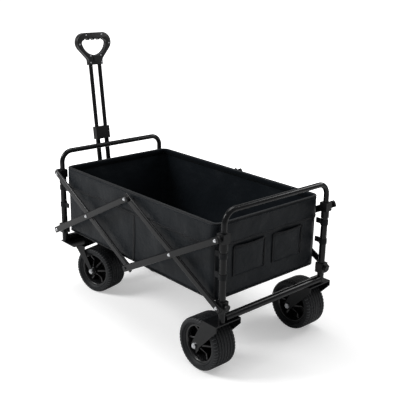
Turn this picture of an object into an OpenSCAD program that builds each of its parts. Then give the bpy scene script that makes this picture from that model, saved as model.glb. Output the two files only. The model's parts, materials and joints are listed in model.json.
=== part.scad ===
// Folding camp wagon: two tubular end frames joined by double scissor links,
// a fabric basket, four wide wheels (the front pair on casters) and a pull handle.
// X runs along the wagon with the handle at -X, Y across it, Z up from the ground.

/* [Frame] */
// Distance between the front and the rear corner posts
frame_len = 904; // [860:4:1000]
// Distance between the near and the far corner posts
frame_w = 477; // [460:1:540]
// Height of the centre of the top rails above the wheel saddles
rail_rise = 367; // [357:5:430]
// Bend radius of the top rail corners
bend_r = 42; // [30:1:60]
// Outer diameter of the U-frame tube
tube_d = 19; // [17:0.5:21]
// Wall of every steel tube
tube_wall = 1.5; // [1.2:0.1:2]
// Wall of the sleeves that the U-frames slide in
sleeve_wall = 1.95; // [1.5:0.05:2.4]
// Radial gap of sliding and turning fits
fit_gap = 0.05; // [0.03:0.01:0.1]
// Diameter of the two axle beams
beam_d = 25; // [22:1:30]

/* [Scissor links] */
// Height of the lower link pivots above the wheel saddles
low_rise = 60; // [52:2:74]
// Height difference between the lower and the upper post pivots
link_gap = 224; // [210:2:230]
// Distance of the scissor centres from the middle of the wagon
cross_x = 240; // [230:2:260]
// Height of the flat oval link section
bar_h = 24; // [20:1:26]
// Thickness of the flat oval link section
bar_t = 10; // [8:0.5:11]
// Diameter of the link pivot pins
pin_d = 8; // [6:0.5:9]

/* [Wheels] */
// Tyre diameter
wheel_d = 180; // [165:1:184]
// Tyre width
wheel_w = 93; // [70:1:96]
// Hub rim diameter
rim_d = 126; // [90:1:130]
// Spokes in each hub
spokes = 6; // [4:1:9]
// Fine notches round each tyre shoulder
notches = 30; // [12:1:40]
// Depth of the tyre's grooves and notches
groove = 2.5; // [1:0.5:5]
// Axle diameter
axle_d = 10; // [8:0.5:12]
// Distance from the rear axle to the rear posts
axle_back = 81; // [70:1:96]
// Distance from each rear wheel's centre in to the line of the posts
rear_in = 16.5; // [8:0.5:24]
// Distance from each caster swivel in to the line of the posts
swivel_in = 76.5; // [70:0.5:78]
// Distance from the caster swivels to the front posts
caster_in = 48; // [44:1:60]
// Trail of the casters
trail = 66; // [50:1:70]
// Angle that the casters are turned from straight ahead
caster_turn = 12; // [0:1:20]

/* [Basket] */
// Gap from each end of the fabric basket to the line of the posts
end_gap = 34; // [32:1:52]
// How far each side of the basket stands outside the line of the posts
side_over = 1.5; // [-8:0.5:4]
// Clearance from the tube under the floor up to the basket
basket_lift = 8.8; // [4:0.2:14]
// Height of the basket's walls
basket_h = 252; // [230:1:262]
// Thickness of the padded fabric walls
fabric_t = 4; // [3:0.5:6]
// Depth of the fabric cuff folded over the rim
cuff_h = 78; // [50:1:100]

/* [Handle] */
// Length of the handle from its pivot to the top of the grip
handle_len = 784; // [740:2:840]
// Forward lean of the parked handle
handle_lean = 7.4; // [5:0.1:12]
// Distance between the handle tubes
handle_gap = 42; // [38:1:48]
// Diameter of the upper handle tubes
handle_d = 16; // [13:0.5:17]
// Length of the lower handle tubes
lower_len = 386; // [340:2:390]
// Width of the D-grip
grip_w = 158; // [136:1:170]
// Height of the D-grip
grip_h = 126; // [116:1:140]
// Thickness of the D-grip
grip_t = 24; // [20:1:28]

/* [Hidden] */
$fn = 48;
e = 0.01;

near = -1;
far = 1;
post_x = frame_len / 2;
post_y = frame_w / 2;
wheel_r = wheel_d / 2;
// Forks, saddles and decks
plate_t = 4;
fork_half = wheel_w / 2 + 4;
saddle_z = wheel_d + 8;
deck_z = saddle_z + 2;
beam_z = saddle_z + plate_t + beam_d / 2;
axle_x = post_x - axle_back;
swivel_x = caster_in - post_x;
rear_track = frame_w - 2 * rear_in;
caster_track = frame_w - 2 * swivel_in;
stem_d = 12;
deck_side = 66;
// Heights that stand on the saddles
frame_h = saddle_z + rail_rise;
low_z = saddle_z + low_rise;
// Telescoping corner posts
sleeve_bore = tube_d + 2 * fit_gap;
sleeve_d = sleeve_bore + 2 * sleeve_wall;
up_z = low_z + link_gap;
bracket_half = 15;
sleeve_top = up_z - bracket_half - 11;
collar_top = up_z - bracket_half - 0.3;
tube_bottom = saddle_z + plate_t + 10;
// Link geometry: equal half lengths at each end, so the pivots stay one above the other
link_a = norm([post_x - cross_x, link_gap / 2]);
link_angle = atan2(link_gap / 2, post_x - cross_x);
link_b = cross_x / cos(link_angle);
mid_z = low_z + link_gap / 2;
top_z = mid_z + link_b * sin(link_angle);
bottom_z = mid_z - link_b * sin(link_angle);
cross_d = 16;
// Basket between the posts, above the tube that joins the lower scissor centres
basket_len = frame_len - 2 * end_gap;
basket_w = frame_w + 2 * side_over;
basket_z = bottom_z + cross_d / 2 + basket_lift;
basket_top = basket_z + basket_h;
// The links lie in two layers outside the posts
face_y = post_y + sleeve_d / 2 + 4;
layer_1 = face_y + 1;
layer_2 = layer_1 + bar_t + 1.5;
skin_y = layer_2 + bar_t;
head_t = 3;
head_over = 4;
boss_over = 10;
bar_over = 14;
// Handle
pivot_x = -post_x - 30;
pivot_z = beam_z;
handle_bore = handle_d + 2 * fit_gap;
lower_d = handle_bore + 2.6;
clamp_h = 50;
neck_h = 22;
grip_base = handle_len - grip_h;
// The box of the whole wagon is centred on the origin
knob_out = 27;
front_reach = -pivot_x + handle_len * sin(handle_lean) + grip_t / 2 * cos(handle_lean);
rear_reach = post_x + knob_out;
x_off = (front_reach - rear_reach) / 2;

steel = [0.07, 0.07, 0.075];
plastic = [0.09, 0.09, 0.095];
rubber = [0.13, 0.13, 0.135];
cloth = [0.10, 0.105, 0.12];
bright = [0.80, 0.81, 0.82];

module place() {
    translate([x_off, 0, 0]) children();
}

// A cylinder along Y from y0 to y1
module across(d, y0, y1) {
    translate([0, min(y0, y1), 0]) rotate([-90, 0, 0]) cylinder(d = d, h = abs(y1 - y0));
}

module pipe(d, bore, h) {
    difference() {
        cylinder(d = d, h = h);
        translate([0, 0, -1]) cylinder(d = bore, h = h + 2);
    }
}

module round_rect(w, h, r) {
    square([w - 2 * r, h], center = true);
    square([w, h - 2 * r], center = true);
    for (x = [-1, 1], y = [-1, 1])
        translate([x * (w / 2 - r), y * (h / 2 - r)]) circle(r = r);
}

// ---- Frames ----

// Inverted U: two posts and the top rail, in the plane x = 0
module u_tube(d) {
    rail = frame_w - 2 * bend_r;
    for (s = [near, far])
        translate([0, s * post_y, tube_bottom]) cylinder(d = d, h = frame_h - bend_r - tube_bottom);
    translate([0, 0, frame_h]) across(d, -rail / 2, rail / 2);
    for (s = [near, far])
        translate([0, s * rail / 2, frame_h - bend_r])
            rotate([0, 0, s * 90]) rotate([90, 0, 0])
                rotate_extrude(angle = 90) translate([bend_r, 0]) circle(d = d);
}

module u_frame() {
    color(steel) difference() {
        u_tube(tube_d);
        u_tube(tube_d - 2 * tube_wall);
        for (s = [near, far])
            translate([0, s * post_y, tube_bottom - 1]) cylinder(d = tube_d - 2 * tube_wall, h = 2);
    }
}

// Boss that fills the space from a bracket out to a link in the outer layer
module boss(s, inner) {
    if (inner > face_y + 2) across(pin_d + boss_over, s * (face_y - 1), s * (inner - 0.3));
}

// Clamp block that carries an upper link pivot on a U-frame post
module u_bracket(s, inner) {
    back = post_y - sleeve_d / 2 - 2;
    difference() {
        union() {
            translate([-bracket_half, min(s * back, s * face_y), up_z - bracket_half])
                cube([2 * bracket_half, face_y - back, 2 * bracket_half]);
            translate([0, 0, up_z]) boss(s, inner);
        }
        translate([0, s * post_y, up_z - bracket_half - 1]) cylinder(d = tube_d, h = 2 * bracket_half + 2);
        translate([0, 0, up_z]) across(pin_d, s * (post_y + tube_d / 2 - 2), s * (inner + 1));
    }
}

module u_brackets(inner) {
    color(plastic) for (s = [near, far]) u_bracket(s, inner);
}

// Tapered head that starts at y and faces out
module head(s, y) {
    translate([0, s * y, 0]) rotate([-s * 90, 0, 0])
        cylinder(d1 = pin_d + head_over, d2 = pin_d, h = head_t);
}

// Pivot pin seated in a bracket, with a head outside the link
module post_pin(s, outer) {
    across(pin_d, s * (post_y + sleeve_d / 2), s * (outer + 0.4));
    head(s, outer + 0.3);
}

module upper_pins(inner) {
    color(bright) translate([0, 0, up_z])
        for (s = [near, far]) post_pin(s, inner + bar_t);
}

module lower_pins(inner) {
    color(bright) translate([0, 0, low_z])
        for (s = [near, far]) post_pin(s, inner + bar_t);
}

module sleeves() {
    color(steel) for (s = [near, far])
        translate([0, s * post_y, saddle_z + plate_t])
            pipe(sleeve_d, sleeve_bore, sleeve_top - saddle_z - plate_t);
}

// Plastic collars that guide the U-frame at the top of each sleeve
module collars() {
    color(plastic) for (s = [near, far])
        translate([0, s * post_y, 0]) difference() {
            translate([0, 0, sleeve_top - 14]) cylinder(d = sleeve_d + 5, h = collar_top - sleeve_top + 14);
            translate([0, 0, sleeve_top - 15]) cylinder(d = sleeve_d, h = 15);
            translate([0, 0, sleeve_top - 1]) cylinder(d = sleeve_bore, h = 20);
        }
}

// Brackets on the sleeves for the lower link pivots, with a round clamp knob facing out
module lower_brackets(out, inner) {
    back = post_y - sleeve_d / 2 - 2;
    color(plastic) for (s = [near, far]) difference() {
        union() {
            translate([-bracket_half, min(s * back, s * face_y), low_z - 18])
                cube([2 * bracket_half, face_y - back, 36]);
            translate([0, 0, low_z]) boss(s, inner);
            translate([min(0, out * knob_out), s * post_y, low_z + 2])
                rotate([0, 90, 0]) cylinder(d = 20, h = knob_out);
        }
        translate([0, s * post_y, low_z - 20]) cylinder(d = sleeve_d, h = 40);
        translate([0, 0, low_z])
            across(pin_d, s * (post_y + sleeve_d / 2), s * (inner + 1));
    }
}

module end_beam() {
    color(steel) translate([0, 0, beam_z]) difference() {
        across(beam_d, -post_y + sleeve_d / 2, post_y - sleeve_d / 2);
        across(beam_d - 2 * tube_wall, -post_y, post_y);
    }
}

// ---- Rear wheels' saddles ----

// Side plate from the saddle down to the axle, in the plane y = 0
module fork_plate(top_x0, top_x1, hub_x, z_top) {
    r = 15;
    rotate([90, 0, 0]) linear_extrude(plate_t, center = true) difference() {
        union() {
            polygon([
                [top_x0, z_top], [top_x1, z_top], [top_x1, z_top - 20],
                [hub_x + r * 0.8, wheel_r - r * 0.6], [hub_x - r * 0.95, wheel_r + r * 0.3]
            ]);
            translate([hub_x, wheel_r]) circle(r = r);
        }
        translate([hub_x, wheel_r]) circle(d = axle_d);
    }
}

module rear_fork(s) {
    yc = s * rear_track / 2;
    x0 = post_x - 46;
    x1 = post_x + 15;
    color(steel) place() {
        for (k = [-1, 1])
            translate([0, yc + k * (fork_half + plate_t / 2), 0])
                fork_plate(x0, x1, axle_x, saddle_z + plate_t);
        translate([x0, yc - fork_half, saddle_z]) cube([x1 - x0, 2 * fork_half, plate_t]);
    }
}

// ---- Wheels, drawn round the axle at the origin with the axle along Y ----

module tyre() {
    r = wheel_r;
    w = wheel_w / 2;
    pitch = w * 0.27;
    bulge = (rim_d / 2 + r - 6) / 2;
    crown = [
        for (i = [-2 : 2], q = [[0, -1.5], [-groove, -0.9], [-groove, 0.9], [0, 1.5]])
            [r + q[0], i * pitch + q[1]]
    ];
    color(rubber) rotate([90, 0, 0]) difference() {
        rotate_extrude($fn = 64) polygon(concat([
            [rim_d / 2, -w * 0.72], [rim_d / 2 + 6, -w * 0.9], [bulge, -w * 0.98], [r - 12, -w], [r - 5, -w * 0.97],
            [r - 1.5, -w * 0.88], [r, -w * 0.76]
        ], crown, [
            [r, w * 0.76], [r - 1.5, w * 0.88], [r - 5, w * 0.97], [r - 12, w], [bulge, w * 0.98],
            [rim_d / 2 + 6, w * 0.9], [rim_d / 2, w * 0.72]
        ]));
        for (i = [0 : notches - 1], k = [0, 1])
            rotate([0, 0, (i + k / 2) * 360 / notches])
                translate([r - groove, -1.5, k == 0 ? w * 0.68 : -w - 1]) cube([groove + 2, 3, w * 0.32 + 1]);
    }
}

module hub() {
    w = wheel_w * 0.36;
    color(plastic) rotate([90, 0, 0]) difference() {
        union() {
            difference() {
                cylinder(d = rim_d, h = 2 * w, center = true);
                cylinder(d = rim_d - 12, h = 2 * w + 2, center = true);
            }
            cylinder(d = 34, h = 2 * fork_half - 1, center = true);
            cylinder(d = rim_d - 11, h = 6, center = true);
            for (i = [0 : spokes - 1])
                rotate([0, 0, i * 360 / spokes]) translate([14, -4, -w * 0.7]) cube([rim_d / 2 - 18, 8, w * 1.4]);
        }
        cylinder(d = axle_d + 2 * fit_gap, h = 3 * w + 60, center = true);
    }
}

// Axle bolt with a nut outside each fork plate; out is the side with the long domed nut
module axle(out) {
    half = fork_half + plate_t;
    color(bright) {
        across(axle_d, -half - 3, half + 3);
        for (k = [-1, 1]) translate([0, k * (half + 2.5), 0]) rotate([90, 0, 0])
            cylinder(d = 19, h = 5, center = true, $fn = 6);
        translate([0, out * (half + 5), 0]) rotate([out * -90, 0, 0]) cylinder(d1 = 14, d2 = 9, h = 4);
    }
}

module rear_wheel_place(s) {
    place() translate([axle_x, s * rear_track / 2, wheel_r]) children();
}

// Casters: drawn with the swivel axis at x = 0, y = 0 and the wheel trailing to +X
module caster_place(s) {
    place() translate([swivel_x, s * caster_track / 2, 0])
        rotate([0, 0, -s * caster_turn]) children();
}

module caster_wheel_place(s) {
    caster_place(s) translate([trail, 0, wheel_r]) children();
}

module caster_fork() {
    z_top = saddle_z - 1.5;
    color(steel) {
        for (k = [-1, 1])
            translate([0, k * (fork_half + plate_t / 2), 0]) fork_plate(-26, 30, trail, z_top);
        translate([-26, -fork_half, z_top - plate_t]) cube([56, 2 * fork_half, plate_t]);
        translate([0, 0, z_top - e]) cylinder(d = stem_d, h = deck_z + plate_t + 28 - z_top);
        translate([0, 0, deck_z + plate_t + 22.5]) cylinder(d = 22, h = 7, $fn = 6);
    }
}

module decks() {
    inside = caster_track / 2 - deck_side;
    color(steel) for (s = [near, far]) difference() {
        place() translate([-post_x - 14, min(s * inside, s * (post_y + 12)), deck_z])
            cube([caster_in + 46, post_y + 12 - inside, plate_t - 2]);
        place() translate([swivel_x, s * caster_track / 2, deck_z - 1])
            cylinder(d = stem_d + 2 * fit_gap, h = plate_t + 2);
    }
}

module caster_housing_pair() {
    color(steel) place() for (s = [near, far])
        translate([swivel_x, s * caster_track / 2, deck_z + plate_t - 2])
            pipe(34, stem_d + 2 * fit_gap, 24);
}

// ---- Scissor links ----

// Flat oval tube in layer y0, from pivot p0 to pivot p1 (x, z), with a bore at each of the stations
module link(s, y0, p0, p1, stations) {
    len = norm(p1 - p0);
    tilt = atan2(p1[1] - p0[1], p1[0] - p0[0]);
    yc = s * (y0 + bar_t / 2);
    color(steel) place() translate([p0[0], yc, p0[1]]) rotate([0, -tilt, 0]) difference() {
        rotate([0, 90, 0]) translate([0, 0, -bar_over]) linear_extrude(len + 2 * bar_over) difference() {
            oval(bar_h, bar_t);
            oval(bar_h - 2 * tube_wall, bar_t - 2 * tube_wall);
        }
        for (x = stations) translate([x, 0, 0]) across(pin_d + 2 * fit_gap, -bar_t, bar_t);
    }
}

module oval(h, t) {
    square([h - t, t], center = true);
    for (k = [-1, 1]) translate([k * (h - t) / 2, 0]) circle(d = t);
}

module rivet(s, y0, y1, d) {
    across(d, s * y0, s * y1);
    across(d + head_over, s * y0, s * (y0 - head_t + 1));
    head(s, y1);
}

rear_low = [post_x, low_z];
rear_up = [post_x, up_z];
front_low = [-post_x, low_z];
front_up = [-post_x, up_z];
mid_top = [0, top_z];
mid_bottom = [0, bottom_z];
whole = link_a + link_b;

module bar_a(s) { link(s, layer_1, rear_low, mid_top, [0, link_a, whole]); }
module bar_b(s) { link(s, layer_2, mid_top, front_low, [0, link_b, whole]); }
module bar_c(s) { link(s, layer_2, rear_up, mid_bottom, [0, link_a, whole]); }
module bar_d(s) { link(s, layer_1, mid_bottom, front_up, [0, link_b, whole]); }

module rear_rivets() {
    color(bright) place() for (s = [near, far]) {
        translate([cross_x, 0, mid_z]) rivet(s, layer_1 - 0.2, skin_y + 0.2, pin_d);
        translate([0, 0, top_z]) rivet(s, layer_1 - 0.2, skin_y + 0.2, pin_d);
    }
}

module front_rivets() {
    color(bright) place() for (s = [near, far])
        translate([-cross_x, 0, mid_z]) rivet(s, layer_1 - 0.2, skin_y + 0.2, pin_d);
}

// Tube under the floor that joins the lower scissor centres of the two sides
module cross_tube() {
    color(steel) place() translate([0, 0, bottom_z]) {
        across(cross_d, -layer_1 + 0.3, layer_1 - 0.3);
        across(pin_d, -skin_y - 0.3, skin_y + 0.3);
        for (s = [near, far]) head(s, skin_y + 0.2);
    }
}

// ---- Basket ----

module basket_tub() {
    l = basket_len;
    w = basket_w;
    h = basket_top - basket_z;
    color(cloth) place() difference() {
        union() {
            translate([-l / 2, -w / 2, basket_z]) cube([l, w, h]);
            translate([-l / 2 - 3, -w / 2 - 3, basket_top - cuff_h]) cube([l + 6, w + 6, cuff_h]);
        }
        translate([-l / 2 + fabric_t, -w / 2 + fabric_t, basket_z + fabric_t])
            cube([l - 2 * fabric_t, w - 2 * fabric_t, h]);
    }
}

// Folding cargo mat: four boards with a gap along each fold
module floor_mat() {
    n = 4;
    l = basket_len - 2 * fabric_t - 12;
    w = basket_w - 2 * fabric_t - 12;
    color(cloth) place() for (i = [0 : n - 1])
        translate([-l / 2 + i * l / n + 1.5, -w / 2, basket_z + fabric_t])
            cube([l / n - 3, w, 6]);
}

module rear_pockets() {
    color(cloth) place() for (s = [near, far])
        translate([basket_len / 2, s * 90 - 70, basket_z + 62]) cube([5, 140, 100]);
}

// Webbing loops round the sleeves, with a tab to the basket's end; out is the side of the basket
module straps(out) {
    reach = sleeve_d / 2 + 0.3;
    tab = end_gap - reach;
    color(cloth) for (s = [near, far], z = [sleeve_top - 40, sleeve_top - 109])
        translate([0, s * post_y, z]) {
            pipe(2 * reach + 4, 2 * reach, 18);
            translate([min(out * (reach + 0.5), out * (reach + tab)), -1.5, 0]) cube([tab - 0.5, 3, 18]);
        }
}

// ---- Handle ----

module handle_place() {
    place() translate([pivot_x, 0, pivot_z]) rotate([0, -handle_lean, 0]) children();
}

module handle_bracket() {
    ear_y = handle_gap / 2 + 15;
    color(steel) place() {
        for (s = [near, far]) difference() {
            union() {
                translate([pivot_x, s * (ear_y + 2), pivot_z]) rotate([90, 0, 0]) cylinder(r = 13, h = 4, center = true);
                translate([pivot_x, s * (ear_y + 2) - 2, pivot_z - 13]) cube([30, 4, 26]);
            }
            translate([-post_x, 0, beam_z]) across(beam_d, -100, 100);
        }
        translate([pivot_x, 0, pivot_z]) across(pin_d, -ear_y - 8, ear_y + 8);
        for (s = [near, far]) translate([pivot_x, 0, pivot_z]) across(pin_d + 6, s * (ear_y + 4), s * (ear_y + 9));
    }
}

module handle_foot() {
    w = handle_gap + 29;
    color(plastic) handle_place() difference() {
        union() {
            across(26, -w / 2, w / 2);
            translate([-13, -w / 2, 0]) cube([26, w, 44]);
        }
        across(pin_d + 2 * fit_gap, -w, w);
        for (s = [near, far]) translate([0, s * handle_gap / 2, 16]) cylinder(d = lower_d, h = 60);
    }
}

module handle_lower_tubes() {
    color(steel) handle_place() for (s = [near, far])
        translate([0, s * handle_gap / 2, 16]) pipe(lower_d, handle_bore, lower_len);
}

module handle_clamp() {
    w = handle_gap + lower_d + 4;
    top = 16 + lower_len + 8;
    color(plastic) handle_place() difference() {
        translate([-12, -w / 2, top - clamp_h]) cube([24, w, clamp_h]);
        for (s = [near, far]) {
            translate([0, s * handle_gap / 2, top - clamp_h - 1]) cylinder(d = lower_d, h = clamp_h - 7);
            translate([0, s * handle_gap / 2, top - 20]) cylinder(d = handle_bore, h = 30);
        }
    }
}

module handle_upper_tubes() {
    stop = 16 + lower_len - 70;
    color(steel) handle_place() for (s = [near, far])
        translate([0, s * handle_gap / 2, stop]) pipe(handle_d, handle_d - 2.4, grip_base + 30 - stop);
}

// Outline of the D-grip across Y and up the handle: round shoulders, tapered cheeks and a neck
module grip_outline() {
    r = 38;
    cx = grip_w / 2 - r;
    cz = grip_h - r;
    neck = handle_gap / 2 + 11;
    reach = norm([neck - cx, neck_h - cz]);
    turn = atan2(neck_h - cz, neck - cx) + acos(r / reach);
    touch = [cx + r * cos(turn), cz + r * sin(turn)];
    hole_r = grip_w / 2 - 20;
    hole_z = grip_h - 29;
    corner = 12;
    half = sqrt(hole_r * hole_r - corner * corner);
    difference() {
        union() {
            translate([0, cz]) square([2 * cx, 2 * r], center = true);
            for (s = [near, far]) translate([s * cx, cz]) circle(r = r);
            polygon([
                [-neck, 0], [neck, 0], [neck, neck_h], touch, [touch[0], cz],
                [-touch[0], cz], [-touch[0], touch[1]], [-neck, neck_h]
            ]);
        }
        translate([0, hole_z - corner]) intersection() {
            translate([0, corner]) circle(r = hole_r);
            translate([0, -grip_h / 2]) square([grip_w, grip_h], center = true);
        }
        translate([0, hole_z - corner]) round_rect(2 * half, 2 * corner, corner - 0.1);
        for (i = [-1.5 : 1 : 1.5]) translate([i * 24, hole_z - 6.5]) circle(d = 25);
    }
}

module grip_half(k) {
    color(plastic) handle_place() translate([0, 0, grip_base]) difference() {
        translate([k < 0 ? -grip_t / 2 : 0, 0, 0]) rotate([90, 0, 90]) linear_extrude(grip_t / 2) grip_outline();
        for (s = [near, far]) translate([0, s * handle_gap / 2, -1]) cylinder(d = handle_d, h = 31);
        if (k > 0) translate([grip_t / 2 - 6, -11, 12]) cube([10, 22, 18]);
        if (k > 0) for (p = screw_points()) translate([grip_t / 2 - 2, p[0], p[1]])
            rotate([0, 90, 0]) cylinder(d = 6, h = 5);
    }
}

function screw_points() = [
    for (s = [near, far]) [s * (grip_w / 2 - 10), grip_h - 44],
    for (s = [near, far]) [s * 36, grip_h - 9],
    for (s = [near, far]) [s * 24, 36],
    for (s = [near, far]) [s * 26, 9]
];

module grip_screws() {
    color(bright) handle_place() translate([0, 0, grip_base])
        for (p = screw_points()) translate([grip_t / 2 - 2, p[0], p[1]])
            rotate([0, 90, 0]) cylinder(d = 6, h = 2.6);
}

module grip_button() {
    color(plastic) handle_place() translate([grip_t / 2 - 3, -10.7, grip_base + 12.3]) cube([6, 21.4, 17.4]);
}

module rear_end() {
    place() translate([post_x, 0, 0]) children();
}

module front_end() {
    place() translate([-post_x, 0, 0]) children();
}

rear_end() end_beam();  // rear_beam
rear_fork(near);  // rear_fork_near
rear_fork(far);  // rear_fork_far
rear_end() sleeves();  // rear_sleeves
rear_end() collars();  // rear_collars
rear_end() lower_brackets(1, layer_1);  // rear_lower_brackets
rear_end() lower_pins(layer_1);  // rear_lower_pins
rear_wheel_place(near) axle(near);  // rear_axle_near
rear_wheel_place(far) axle(far);  // rear_axle_far
basket_tub();
floor_mat();
rear_pockets();
rear_end() straps(-1);  // rear_straps
bar_a(near);  // bar_a_near
bar_a(far);  // bar_a_far
rear_rivets();  // arm_a_rivets
bar_b(near);  // bar_b_near
bar_b(far);  // bar_b_far
front_rivets();  // arm_b_rivets
bar_c(near);  // bar_c_near
bar_c(far);  // bar_c_far
cross_tube();  // bottom_cross_tube
bar_d(near);  // bar_d_near
bar_d(far);  // bar_d_far
rear_end() u_frame();  // rear_u_frame
rear_end() u_brackets(layer_2);  // rear_u_brackets
rear_end() upper_pins(layer_2);  // rear_u_pins
front_end() u_frame();  // front_u_frame
front_end() u_brackets(layer_1);  // front_u_brackets
front_end() upper_pins(layer_1);  // front_u_pins
front_end() end_beam();  // front_beam
front_end() sleeves();  // front_sleeves
front_end() collars();  // front_collars
front_end() lower_brackets(-1, layer_2);  // front_lower_brackets
front_end() lower_pins(layer_2);  // front_lower_pins
decks();  // front_decks
front_end() straps(1);  // front_straps
caster_housing_pair();  // caster_housings
handle_bracket();
caster_place(near) caster_fork();  // caster_fork_near
caster_place(far) caster_fork();  // caster_fork_far
caster_wheel_place(near) axle(near);  // front_axle_near
caster_wheel_place(far) axle(far);  // front_axle_far
rear_wheel_place(near) tyre();  // tyre_rear_near
rear_wheel_place(far) tyre();  // tyre_rear_far
caster_wheel_place(near) tyre();  // tyre_front_near
caster_wheel_place(far) tyre();  // tyre_front_far
rear_wheel_place(near) hub();  // hub_rear_near
rear_wheel_place(far) hub();  // hub_rear_far
caster_wheel_place(near) hub();  // hub_front_near
caster_wheel_place(far) hub();  // hub_front_far
handle_foot();
handle_lower_tubes();
handle_clamp();
handle_upper_tubes();
grip_half(-1);  // grip_front
grip_half(1);  // grip_back
grip_screws();
grip_button();
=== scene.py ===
import json
import math

import bpy
import bmesh
from mathutils import Matrix, Vector


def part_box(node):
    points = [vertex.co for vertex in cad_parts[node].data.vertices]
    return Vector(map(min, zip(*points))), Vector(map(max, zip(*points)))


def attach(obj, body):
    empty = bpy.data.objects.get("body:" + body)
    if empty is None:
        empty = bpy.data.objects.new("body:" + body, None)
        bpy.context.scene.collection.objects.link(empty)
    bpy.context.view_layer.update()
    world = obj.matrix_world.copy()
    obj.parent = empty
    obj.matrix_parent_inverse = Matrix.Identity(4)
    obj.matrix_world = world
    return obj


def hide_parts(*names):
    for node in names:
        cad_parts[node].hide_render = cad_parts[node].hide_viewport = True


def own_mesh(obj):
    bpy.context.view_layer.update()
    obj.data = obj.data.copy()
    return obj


bl_info = {
    "name": "Folding Camp Wagon",
    "version": (1, 0, 0),
    "blender": (4, 5, 0),
    "location": "View3D > Sidebar > Wagon",
    "description": "Finishes a folding camp wagon: basket, wheels, handle grip, trim, materials and stage",
    "category": "Object",
}

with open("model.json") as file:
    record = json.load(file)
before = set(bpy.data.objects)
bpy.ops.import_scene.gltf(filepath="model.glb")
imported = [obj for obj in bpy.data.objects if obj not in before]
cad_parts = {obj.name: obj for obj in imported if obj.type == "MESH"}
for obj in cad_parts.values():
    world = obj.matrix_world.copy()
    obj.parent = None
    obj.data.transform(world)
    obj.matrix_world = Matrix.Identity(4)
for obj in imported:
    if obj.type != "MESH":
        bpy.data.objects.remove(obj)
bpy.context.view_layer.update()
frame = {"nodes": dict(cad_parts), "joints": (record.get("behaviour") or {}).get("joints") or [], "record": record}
JOINTS = {j["name"]: j for j in frame["joints"]}
NODES = frame["nodes"]
MM = 0.001
SIDES = (("near", -1.0), ("far", 1.0))


def box_of(name):
    """Lowest and highest corner of a CAD node, as vectors."""
    low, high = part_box(name)
    return Vector(low), Vector(high)


TUB_LOW, TUB_HIGH = box_of("basket_tub")
MAT_LOW, MAT_HIGH = box_of("floor_mat")
REAR_POST_X = Vector(JOINTS["fold"]["pos_m"]).x
FRONT_POST_X = Vector(JOINTS["front_base_pivot"]["pos_m"]).x
SLEEVE_LOW, SLEEVE_HIGH = box_of("rear_sleeves")
SLEEVE_R = (SLEEVE_HIGH.x - SLEEVE_LOW.x) / 2
CUFF_OUT = 3 * MM
# Thickness of the cloth of the cuff
CUFF_SKIN = 1.8 * MM
RIM_Z = TUB_HIGH.z
FLOOR_Z = TUB_LOW.z


# ---------------------------------------------------------------- settings


class WAGON_PG_sizes(bpy.types.PropertyGroup):
    """Sizes of the soft and moulded pieces."""

    cloth_thickness: bpy.props.FloatProperty(
        name="Cloth thickness", description="Thickness of the padded basket cloth",
        default=3.5 * MM, min=1 * MM, max=6 * MM, unit="LENGTH")
    corner_radius: bpy.props.FloatProperty(
        name="Corner radius", description="Radius of the basket's upright corners",
        default=26 * MM, min=8 * MM, max=60 * MM, unit="LENGTH")
    cuff_depth: bpy.props.FloatProperty(
        name="Cuff depth", description="Depth of the cuff folded over the rim",
        default=76 * MM, min=40 * MM, max=110 * MM, unit="LENGTH")
    slack: bpy.props.FloatProperty(
        name="Slack", description="How far the cloth pulls in between its fixings",
        default=7 * MM, min=0.0, max=14 * MM, unit="LENGTH")
    stitch_pitch: bpy.props.FloatProperty(
        name="Stitch pitch", description="Distance from one stitch to the next",
        default=7 * MM, min=3 * MM, max=20 * MM, unit="LENGTH")
    notch_count: bpy.props.IntProperty(
        name="Shoulder notches", description="Fine notches round each tyre shoulder",
        default=48, min=24, max=90)
    groove_depth: bpy.props.FloatProperty(
        name="Groove depth", description="Depth of the tyre's grooves and notches",
        default=2.4 * MM, min=1 * MM, max=5 * MM, unit="LENGTH")
    spoke_count: bpy.props.IntProperty(
        name="Hub spokes", description="Spokes moulded into each hub", default=6, min=4, max=9)


class WAGON_PG_colours(bpy.types.PropertyGroup):
    """Colours of the finishes."""

    powder_coat: bpy.props.FloatVectorProperty(
        name="Powder coat", description="Colour of the coated tubes", subtype="COLOR",
        size=3, default=(0.0050, 0.0053, 0.0060), min=0, max=1)
    plastic: bpy.props.FloatVectorProperty(
        name="Plastic", description="Colour of the moulded brackets, hubs and grip", subtype="COLOR",
        size=3, default=(0.0055, 0.0056, 0.0062), min=0, max=1)
    rubber: bpy.props.FloatVectorProperty(
        name="Rubber", description="Colour of the tyres", subtype="COLOR",
        size=3, default=(0.0085, 0.0094, 0.0110), min=0, max=1)
    cloth: bpy.props.FloatVectorProperty(
        name="Cloth", description="Colour of the basket cloth", subtype="COLOR",
        size=3, default=(0.0032, 0.0044, 0.0058), min=0, max=1)
    tape: bpy.props.FloatVectorProperty(
        name="Tape", description="Colour of the binding tape and webbing", subtype="COLOR",
        size=3, default=(0.0045, 0.0049, 0.0057), min=0, max=1)
    zinc: bpy.props.FloatVectorProperty(
        name="Zinc", description="Colour of the plated nuts, pins and rivets", subtype="COLOR",
        size=3, default=(0.62, 0.63, 0.65), min=0, max=1)


def sizes():
    return bpy.context.scene.wagon_sizes


def colours():
    return bpy.context.scene.wagon_colours


# ---------------------------------------------------------------- shader groups


def start_group(name, inputs, outputs):
    """An empty shader node group with its sockets."""
    group = bpy.data.node_groups.new(name, "ShaderNodeTree")
    for label, kind, value in inputs:
        socket = group.interface.new_socket(label, in_out="INPUT", socket_type=kind)
        if value is not None:
            socket.default_value = value
    for label, kind in outputs:
        group.interface.new_socket(label, in_out="OUTPUT", socket_type=kind)
    return group, group.nodes.new("NodeGroupInput"), group.nodes.new("NodeGroupOutput")


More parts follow.
